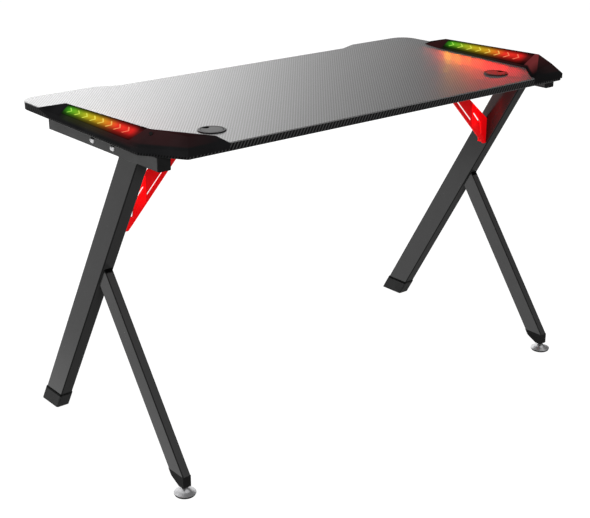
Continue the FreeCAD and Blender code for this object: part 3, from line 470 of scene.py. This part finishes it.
def light_marks():
    """Bright marks in the lens, in the same row of colours."""
    finish = Finish("light_marks")
    glow = light_colours(finish, finish.axes()[1], (
        (0.0, (0.26, 0.78, 0.08)), (0.20, (0.62, 0.80, 0.08)), (0.42, (0.90, 0.78, 0.08)),
        (0.60, (0.96, 0.55, 0.10)), (0.74, (1.0, 0.22, 0.10)), (1.0, (1.0, 0.12, 0.09))))
    finish.set(Base_Color=(0.01, 0.01, 0.01, 1.0), Roughness=0.3, Specular_IOR_Level=0.0)
    finish.drive("Emission Color", glow)
    finish.drive("Emission Strength", finish.spread(finish.noise(90.0), 0.8, 1.1))
    return finish.material


def tube_coat(name, tone, rough):
    """Black coat, with painted shade along the rounded corners of the tubes.

    Also gives how squarely a face looks along X, for the finishes made from this one.
    """
    finish = coated(name, grey(tone * (1 - COAT_SPREAD)), grey(tone * (1 + COAT_SPREAD)),
                    rough, grain=1400.0, bump=0.06, specular=COAT_SPECULAR)
    across = finish.math("ABSOLUTE", finish.normal()["X"])
    corner = finish.times(finish.share(across, *CORNER_START), finish.share(across, *CORNER_END))
    finish.paint(corner, grey(CORNER_PAINTED_SHADE))
    return finish, across


def powder_coat():
    return tube_coat("powder_coat", COAT_TONE, COAT_ROUGHNESS)[0].material


def glossy_coat(name, tone, narrow_painted_shade, painted_shade_above=None):
    """Coat with glossy broad faces, duller narrow ones in painted shade, and painted shade above a
    given height.
    """
    finish, across = tube_coat(name, tone, GLOSS_ROUGHNESS)
    finish.paint(finish.share(across, *NARROW_FACES), grey(narrow_painted_shade))
    flat = finish.share(across, *BROAD_FACES)
    finish.drive("Specular IOR Level", finish.spread(flat, COAT_SPECULAR, GLOSS))
    if painted_shade_above is not None:
        # Painted shade above the given height
        joint_shade = finish.share(finish.axes()[2], painted_shade_above, painted_shade_above + JOINT_FADE)
        finish.paint(joint_shade, grey(JOINT_PAINTED_SHADE))
    return finish.material


def red_coat():
    return coated("red_coat", (0.92, 0.001, 0.003), (1.0, 0.002, 0.006),
                  rough=0.35, grain=1200.0, bump=0.05, specular=0.12).material


def black_plastic():
    return coated("black_plastic", grey(0.008), grey(0.012),
                  rough=0.45, grain=2200.0, bump=0.12, specular=0.03).material


def boot_plastic():
    """Moulding of the leg boots, with a painted shade line for the gap round the tube at its top."""
    finish = coated("boot_plastic", grey(0.020), grey(0.026),
                    rough=0.45, grain=2200.0, bump=0.12, specular=0.03)
    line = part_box("leg_boot_right")[1].z - BOOT_GAP
    gap = finish.share(finish.axes()[2], line - BOOT_FADE, line)
    finish.paint(gap, grey(BOOT_GAP_PAINTED_SHADE))
    return finish.material


def gloss_plastic():
    """Shiny black moulding of the cable grommets."""
    return coated("gloss_plastic", grey(0.006), grey(0.010),
                  rough=0.42, grain=1500.0, bump=0.03, specular=0.04).material


def glide_rubber():
    return coated("glide_rubber", grey(0.012), grey(0.022),
                  rough=0.75, grain=1800.0, bump=0.2, specular=0.2).material


def chrome_steel():
    """Plated bells, with a painted dark reflection on the rim under the polished dome."""
    finish = plated("chrome_steel", (0.47, 0.47, 0.48), (0.53, 0.53, 0.54),
                    rough=0.36, grain=700.0, bump=0.02)
    painted_rim = finish.share(finish.normal()["Z"], *BELL_RIM)
    finish.paint(painted_rim, grey(BELL_RIM_PAINTED_REFLECTION))
    return finish.material


def zinc(name, metallic):
    """Bright zinc plating."""
    return plated(name, (0.70, 0.70, 0.71), (0.86, 0.86, 0.87),
                  rough=0.22, grain=1600.0, bump=0.05, metallic=metallic)


def zinc_steel():
    return zinc("zinc_steel", metallic=1.0).material


def bolt_steel():
    """Plated bolt heads, with painted shade above their middle, where the covers' skirts shade them.
    """
    finish = zinc("bolt_steel", metallic=0.4)
    low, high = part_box("beam_bolts")
    middle = (low.z + high.z) / 2
    painted_shade = finish.share(finish.axes()[2], middle + BOLT_SHADE_START, middle + BOLT_SHADE_END)
    finish.paint(painted_shade, grey(BOLT_SHADE_TONE))
    return finish.material


def stud_steel():
    """Darker plated screws of the feet, with painted shade in step with the thread."""
    finish = plated("stud_steel", (0.22, 0.22, 0.225), (0.30, 0.30, 0.305),
                    rough=0.34, grain=1600.0, bump=0.05)
    turns = finish.math("DIVIDE", finish.axes()[2], STUD_PITCH)
    painted_groove_shade = finish.times(finish.math("PINGPONG", turns, 0.5), 2.0)
    finish.paint(finish.share(painted_groove_shade, *STUD_GROOVE_SHADE), (0.06, 0.06, 0.061))
    return finish.material


def circuit_board():
    """White strip with its light chips, which stand above it."""
    finish = Finish("circuit_board")
    low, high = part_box("light_strip_right")
    chip = finish.share(finish.axes()[2], (low.z + high.z) / 2, high.z)
    board = finish.ramp(finish.noise(500.0), ((0.3, (0.55, 0.56, 0.54)), (0.7, (0.68, 0.69, 0.66))))
    finish.drive("Base Color", finish.blend(chip, board, (0.85, 0.78, 0.35)))
    finish.drive("Roughness", finish.spread(finish.noise(1500.0), 0.4, 0.6))
    return finish.material


# Shapes added to the frame's pieces

def lit_facet(side, outward):
    """Corners and normal of one lit facet of a lens. Outward is 1 for the desk's outside."""
    sign = outward * SIGNS[side]
    mesh = nodes["light_lens_" + side].data
    corners = set()
    normal = Vector()
    for face in mesh.polygons:
        if face.normal.z > FACET_UP and face.normal.x * sign > FACET_ACROSS:
            corners.update(face.vertices)
            normal += face.normal * face.area
    points = sorted((mesh.vertices[i].co for i in corners), key=lambda p: p.z)
    low_front, low_rear = sorted(points[:2], key=lambda p: p.y)
    ridge_front, ridge_rear = sorted(points[-2:], key=lambda p: p.y)
    return {
        "low_front": low_front, "low_rear": low_rear, "normal": normal.normalized(),
        "ridge_front": ridge_front, "ridge_rear": ridge_rear,
    }


def on_facet(facet, along, down):
    """Point on a facet, by its share from the front and from the ridge."""
    ridge = facet["ridge_front"].lerp(facet["ridge_rear"], along)
    low = facet["low_front"].lerp(facet["low_rear"], along)
    return ridge.lerp(low, down)


def prism_between(lower, upper, points, faces):
    """Adds a closed block between two loops of points."""
    start = len(points)
    count = len(lower)
    points += lower + upper
    faces.append([start + i for i in reversed(range(count))])
    faces.append([start + count + i for i in range(count)])
    for i in range(count):
        following = (i + 1) % count
        faces.append([start + i, start + following, start + count + following, start + count + i])


def mesh_object(name, points, faces, material, body):
    """New visible piece that moves with a body of the frame."""
    mesh = bpy.data.meshes.new(name)
    mesh.from_pydata(points, [], faces)
    mesh.update()
    mesh.materials.append(material)
    made = bpy.data.objects.new(name, mesh)
    bpy.context.scene.collection.objects.link(made)
    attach(made, body)


def add_light_marks(material):
    """Row of chevrons along both lit facets of each lens."""
    for side in SIGNS:
        points = []
        faces = []
        for outward in (1, -1):
            facet = lit_facet(side, outward)
            along = (facet["ridge_rear"] - facet["ridge_front"]).normalized() * (MARK_STROKE / 2)
            lift = facet["normal"]
            for i in range(MARK_COUNT):
                place = MARK_FIRST + (MARK_LAST - MARK_FIRST) * i / (MARK_COUNT - 1)
                point = on_facet(facet, place + MARK_POINT, MARK_MIDDLE)
                for reach in (-MARK_REACH, MARK_REACH):
                    end = on_facet(facet, place, MARK_MIDDLE + reach)
                    loop = [end - along, end + along, point + along, point - along]
                    if (loop[1] - loop[0]).cross(loop[3] - loop[0]).dot(lift) < 0:
                        loop.reverse()
                    lower = [p - lift * MARK_SUNK for p in loop]
                    upper = [p + lift * MARK_PROUD for p in loop]
                    prism_between(lower, upper, points, faces)
        mesh_object("light_marks_" + side, points, faces, material, "desk")


def add_welds(material):
    """Fills the grooves between each leg's top and the rounded corners of its rail."""
    for side in SIGNS:
        leg = nodes["leg_" + side].data
        top = max(v.co.z for v in leg.vertices)
        ends = [v.co.y for v in leg.vertices if v.co.z > top - LEVEL_TOLERANCE]
        low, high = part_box("leg_" + side)
        for edge, inward in ((low.x, 1), (high.x, -1)):
            section = [(edge, top)]
            for i in range(WELD_STEPS + 1):
                turn = math.pi / 2 * i / WELD_STEPS
                away = TUBE_CORNER * (1 - math.cos(turn))
                rise = TUBE_CORNER * (1 - math.sin(turn))
                section.append((edge + inward * away, top + rise))
            if inward < 0:
                section.reverse()
            points = []
            faces = []
            front = [Vector((x, min(ends), z)) for x, z in section]
            rear = [Vector((x, max(ends), z)) for x, z in section]
            prism_between(front, rear, points, faces)
            name = f"weld_{side}_" + ("low" if inward > 0 else "high")
            mesh_object(name, points, faces, material, "desk")


def dress(finishes, own_finishes):
    """Gives each piece the finish of its slot, or one of its own by the start of its name."""
    for subpart in frame["record"]["subparts"]:
        name = subpart["node"]
        finish = finishes[subpart["material_slot"]]
        for start, own_finish in own_finishes.items():
            if name.startswith(start):
                finish = own_finish
        mesh = nodes[name].data
        mesh.materials.clear()
        mesh.materials.append(finish)


# Stage, light and camera

def rays_that_see_the_backdrop(tree):
    """1 for camera, glossy and transmission rays, and 0 for the rays of diffuse light."""
    path = tree.nodes.new("ShaderNodeLightPath")
    total = path.outputs["Is Camera Ray"]
    for name in ("Is Glossy Ray", "Is Transmission Ray"):
        node = tree.nodes.new("ShaderNodeMath")
        node.operation = "MAXIMUM"
        tree.links.new(total, node.inputs[0])
        tree.links.new(path.outputs[name], node.inputs[1])
        total = node.outputs[0]
    return total


def stage_sheet(name, corners, finish):
    """One flat sheet of the stage."""
    mesh = bpy.data.meshes.new(name)
    mesh.from_pydata(corners, [], [(0, 1, 2, 3)])
    for corner, place in zip(mesh.uv_layers.new().data, ((0, 0), (1, 0), (1, 1), (0, 1))):
        corner.uv = place
    mesh.materials.append(finish.material)
    sheet = bpy.data.objects.new(name, mesh)
    bpy.context.scene.collection.objects.link(sheet)
    return sheet


def make_floor():
    """Pale floor that keeps the desk's shadow and is clear from below.

    Reflections show it without shadows, and dimmer to the right of the desk.
    """
    finish = Finish("floor")
    finish.tree.nodes.remove(finish.surface)
    matt = finish.add("ShaderNodeBsdfDiffuse")
    matt.inputs["Color"].default_value = (*grey(FLOOR_TONE), 1.0)
    own_light = finish.emission(
        finish.times(rays_that_see_the_backdrop(finish.tree), FLOOR_OWN_LIGHT))
    seen = finish.join("ShaderNodeAddShader", matt.outputs[0], own_light)
    faded = finish.share(finish.axes()[0], *FLOOR_FADE)
    reflected = finish.emission(finish.spread(faded, FLOOR_OWN_LIGHT, FLOOR_FADED_LIGHT))
    glossy = finish.add("ShaderNodeLightPath").outputs["Is Glossy Ray"]
    upper = finish.join("ShaderNodeMixShader", glossy, seen, reflected)
    back = finish.add("ShaderNodeNewGeometry").outputs["Backfacing"]
    clear = finish.add("ShaderNodeBsdfTransparent").outputs[0]
    both = finish.join("ShaderNodeMixShader", back, upper, clear)
    finish.link(both, finish.tree.nodes["Material Output"].inputs["Surface"])
    half = FLOOR_SIZE / 2
    corners = [(-half, -half, 0), (half, -half, 0), (half, half, 0), (-half, half, 0)]
    stage_sheet("floor", corners, finish)


def upright(start, end, bottom, top):
    """Corners of an upright card over a line on the floor."""
    return [(*start, bottom), (*end, bottom), (*end, top), (*start, top)]


def even(light):
    """The same light from end to end of a card."""
    return ((0.0, light), (1.0, light))


def make_card(name, corners, stops):
    """Studio card that only shows as a reflection, with its light from end to end."""
    finish = Finish(name)
    finish.coordinates = finish.coordinates.node.outputs["UV"]
    most = max(value for place, value in stops)
    shades = [(place, grey(value / most)) for place, value in stops]
    finish.set(Base_Color=(0.0, 0.0, 0.0, 1.0), Specular_IOR_Level=0.0, Emission_Strength=most)
    finish.drive("Emission Color", finish.ramp(finish.axes()[0], shades))
    card = stage_sheet(name, corners, finish)
    card.visible_camera = False
    card.visible_diffuse = False
    card.visible_transmission = False
    card.visible_shadow = False


def make_world():
    """White room that lights the desk softly."""
    world = bpy.data.worlds.new("room")
    world.use_nodes = True
    tree = world.node_tree
    background = tree.nodes["Background"]
    background.inputs["Color"].default_value = (1.0, 1.0, 1.0, 1.0)
    strength = tree.nodes.new("ShaderNodeMapRange")
    strength.inputs["To Min"].default_value = ROOM_LIGHT
    strength.inputs["To Max"].default_value = 1.0
    tree.links.new(rays_that_see_the_backdrop(tree), strength.inputs["Value"])
    tree.links.new(strength.outputs["Result"], background.inputs["Strength"])
    bpy.context.scene.world = world


def soft_lamp(name, place, target, width, height, watts, colour=(1.0, 1.0, 1.0), mirrored=False):
    """Rectangular lamp that faces a point, and may show in glossy surfaces."""
    data = bpy.data.lights.new(name, "AREA")
    data.shape = "RECTANGLE"
    data.size = width
    data.size_y = height
    data.energy = watts
    data.color = colour
    lamp = bpy.data.objects.new(name, data)
    lamp.location = place
    lamp.rotation_mode = "QUATERNION"
    lamp.rotation_quaternion = (Vector(target) - Vector(place)).to_track_quat("-Z", "Y")
    lamp.visible_camera = False
    lamp.visible_glossy = mirrored
    bpy.context.scene.collection.objects.link(lamp)


def glow_lamps():
    """Small lamps before the inner facets, for the strong light of the chips on the board."""
    for side in SIGNS:
        facet = lit_facet(side, -1)
        length = (facet["ridge_rear"] - facet["ridge_front"]).length
        depth = (facet["low_front"] - facet["ridge_front"]).length
        for i, (start, end, colour) in enumerate(GLOWS):
            place = on_facet(facet, (start + end) / 2, GLOW_MIDDLE) + facet["normal"] * GLOW_GAP
            target = place + facet["normal"]
            soft_lamp(f"glow_{side}_{i}", place, target, length * (end - start), depth * GLOW_DEPTH,
                      GLOW_WATTS * (end - start), colour, mirrored=True)


def brace_lamps():
    """Weak red light that each brace throws back on the inside of its leg."""
    for side, sign in SIGNS.items():
        low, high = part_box("brace_" + side)
        inside = sign * min(abs(low.x), abs(high.x))
        leg_face = sign * max(abs(low.x), abs(high.x))
        height = low.z * (1 - BRACE_RISE) + high.z * BRACE_RISE
        place = Vector(((inside + leg_face * 2) / 3, high.y + BRACE_BEHIND, height))
        target = Vector((leg_face, high.y + BRACE_AIM, height))
        soft_lamp("brace_light_" + side, place, target, BRACE_WIDTH, BRACE_HEIGHT,
                  BRACE_WATTS, BRACE_COLOUR)


def make_camera():
    """Camera in the photographer's place."""
    yaw = math.radians(CAMERA_YAW)
    pitch = math.radians(CAMERA_PITCH)
    forward = Vector((math.sin(yaw) * math.cos(pitch), math.cos(yaw) * math.cos(pitch),
                      -math.sin(pitch)))
    right = forward.cross(Vector((0, 0, 1))).normalized()
    up = right.cross(forward)
    roll = math.radians(CAMERA_ROLL)
    turned_right = right * math.cos(roll) + up * math.sin(roll)
    turned_up = up * math.cos(roll) - right * math.sin(roll)
    data = bpy.data.cameras.new("camera")
    data.sensor_fit = "HORIZONTAL"
    data.sensor_width = SENSOR_WIDTH
    data.lens = FOCAL_PIXELS / IMAGE_WIDTH * SENSOR_WIDTH
    data.shift_x = CENTRE_LEFT_PIXELS / IMAGE_WIDTH
    data.shift_y = -CENTRE_UP_PIXELS / IMAGE_WIDTH
    camera = bpy.data.objects.new("camera", data)
    turn = Matrix((turned_right, turned_up, -forward)).transposed()
    camera.matrix_world = Matrix.Translation(CAMERA_PLACE) @ turn.to_4x4()
    bpy.context.scene.collection.objects.link(camera)
    bpy.context.scene.camera = camera


SLOT_FINISHES = {
    "carbon_laminate": carbon_laminate(),
    "cover_plastic": cover_plastic(),
    "smoked_lens": smoked_lens(),
    "circuit_board": circuit_board(),
    "black_plastic": black_plastic(),
    "powder_coat": powder_coat(),
    "red_coat": red_coat(),
    "chrome_steel": chrome_steel(),
    "zinc_steel": zinc_steel(),
    "glide_rubber": glide_rubber(),
}
leg_finish = glossy_coat("leg_coat", LEG_TONE, LEG_NARROW_PAINTED_SHADE)
strut_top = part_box("strut_right")[1].z
strut_finish = glossy_coat("strut_coat", STRUT_TONE, STRUT_NARROW_PAINTED_SHADE, strut_top - JOINT_SHADE_DEPTH)
OWN_FINISHES = {
    "grommet": gloss_plastic(),
    "leg_right": leg_finish,
    "leg_left": leg_finish,
    "leg_boot": boot_plastic(),
    "beam_bolts": bolt_steel(),
    "foot_stud": stud_steel(),
    "strut_right": strut_finish,
    "strut_left": strut_finish,
}
dress(SLOT_FINISHES, OWN_FINISHES)
add_light_marks(light_marks())
add_welds(SLOT_FINISHES["powder_coat"])

make_floor()
make_card("dark_card", upright(*DARK_CARD), even(DARK_CARD_LIGHT))
make_card("low_card", LOW_CARD, even(LOW_CARD_LIGHT))
make_card("graded_card", upright(*GRADED_CARD), GRADED_CARD_LIGHT)
make_world()
glow_lamps()
brace_lamps()
for name, setup in SOFTBOXES.items():
    soft_lamp(name, *setup)

bpy.context.scene.view_settings.view_transform = "Standard"
make_camera()
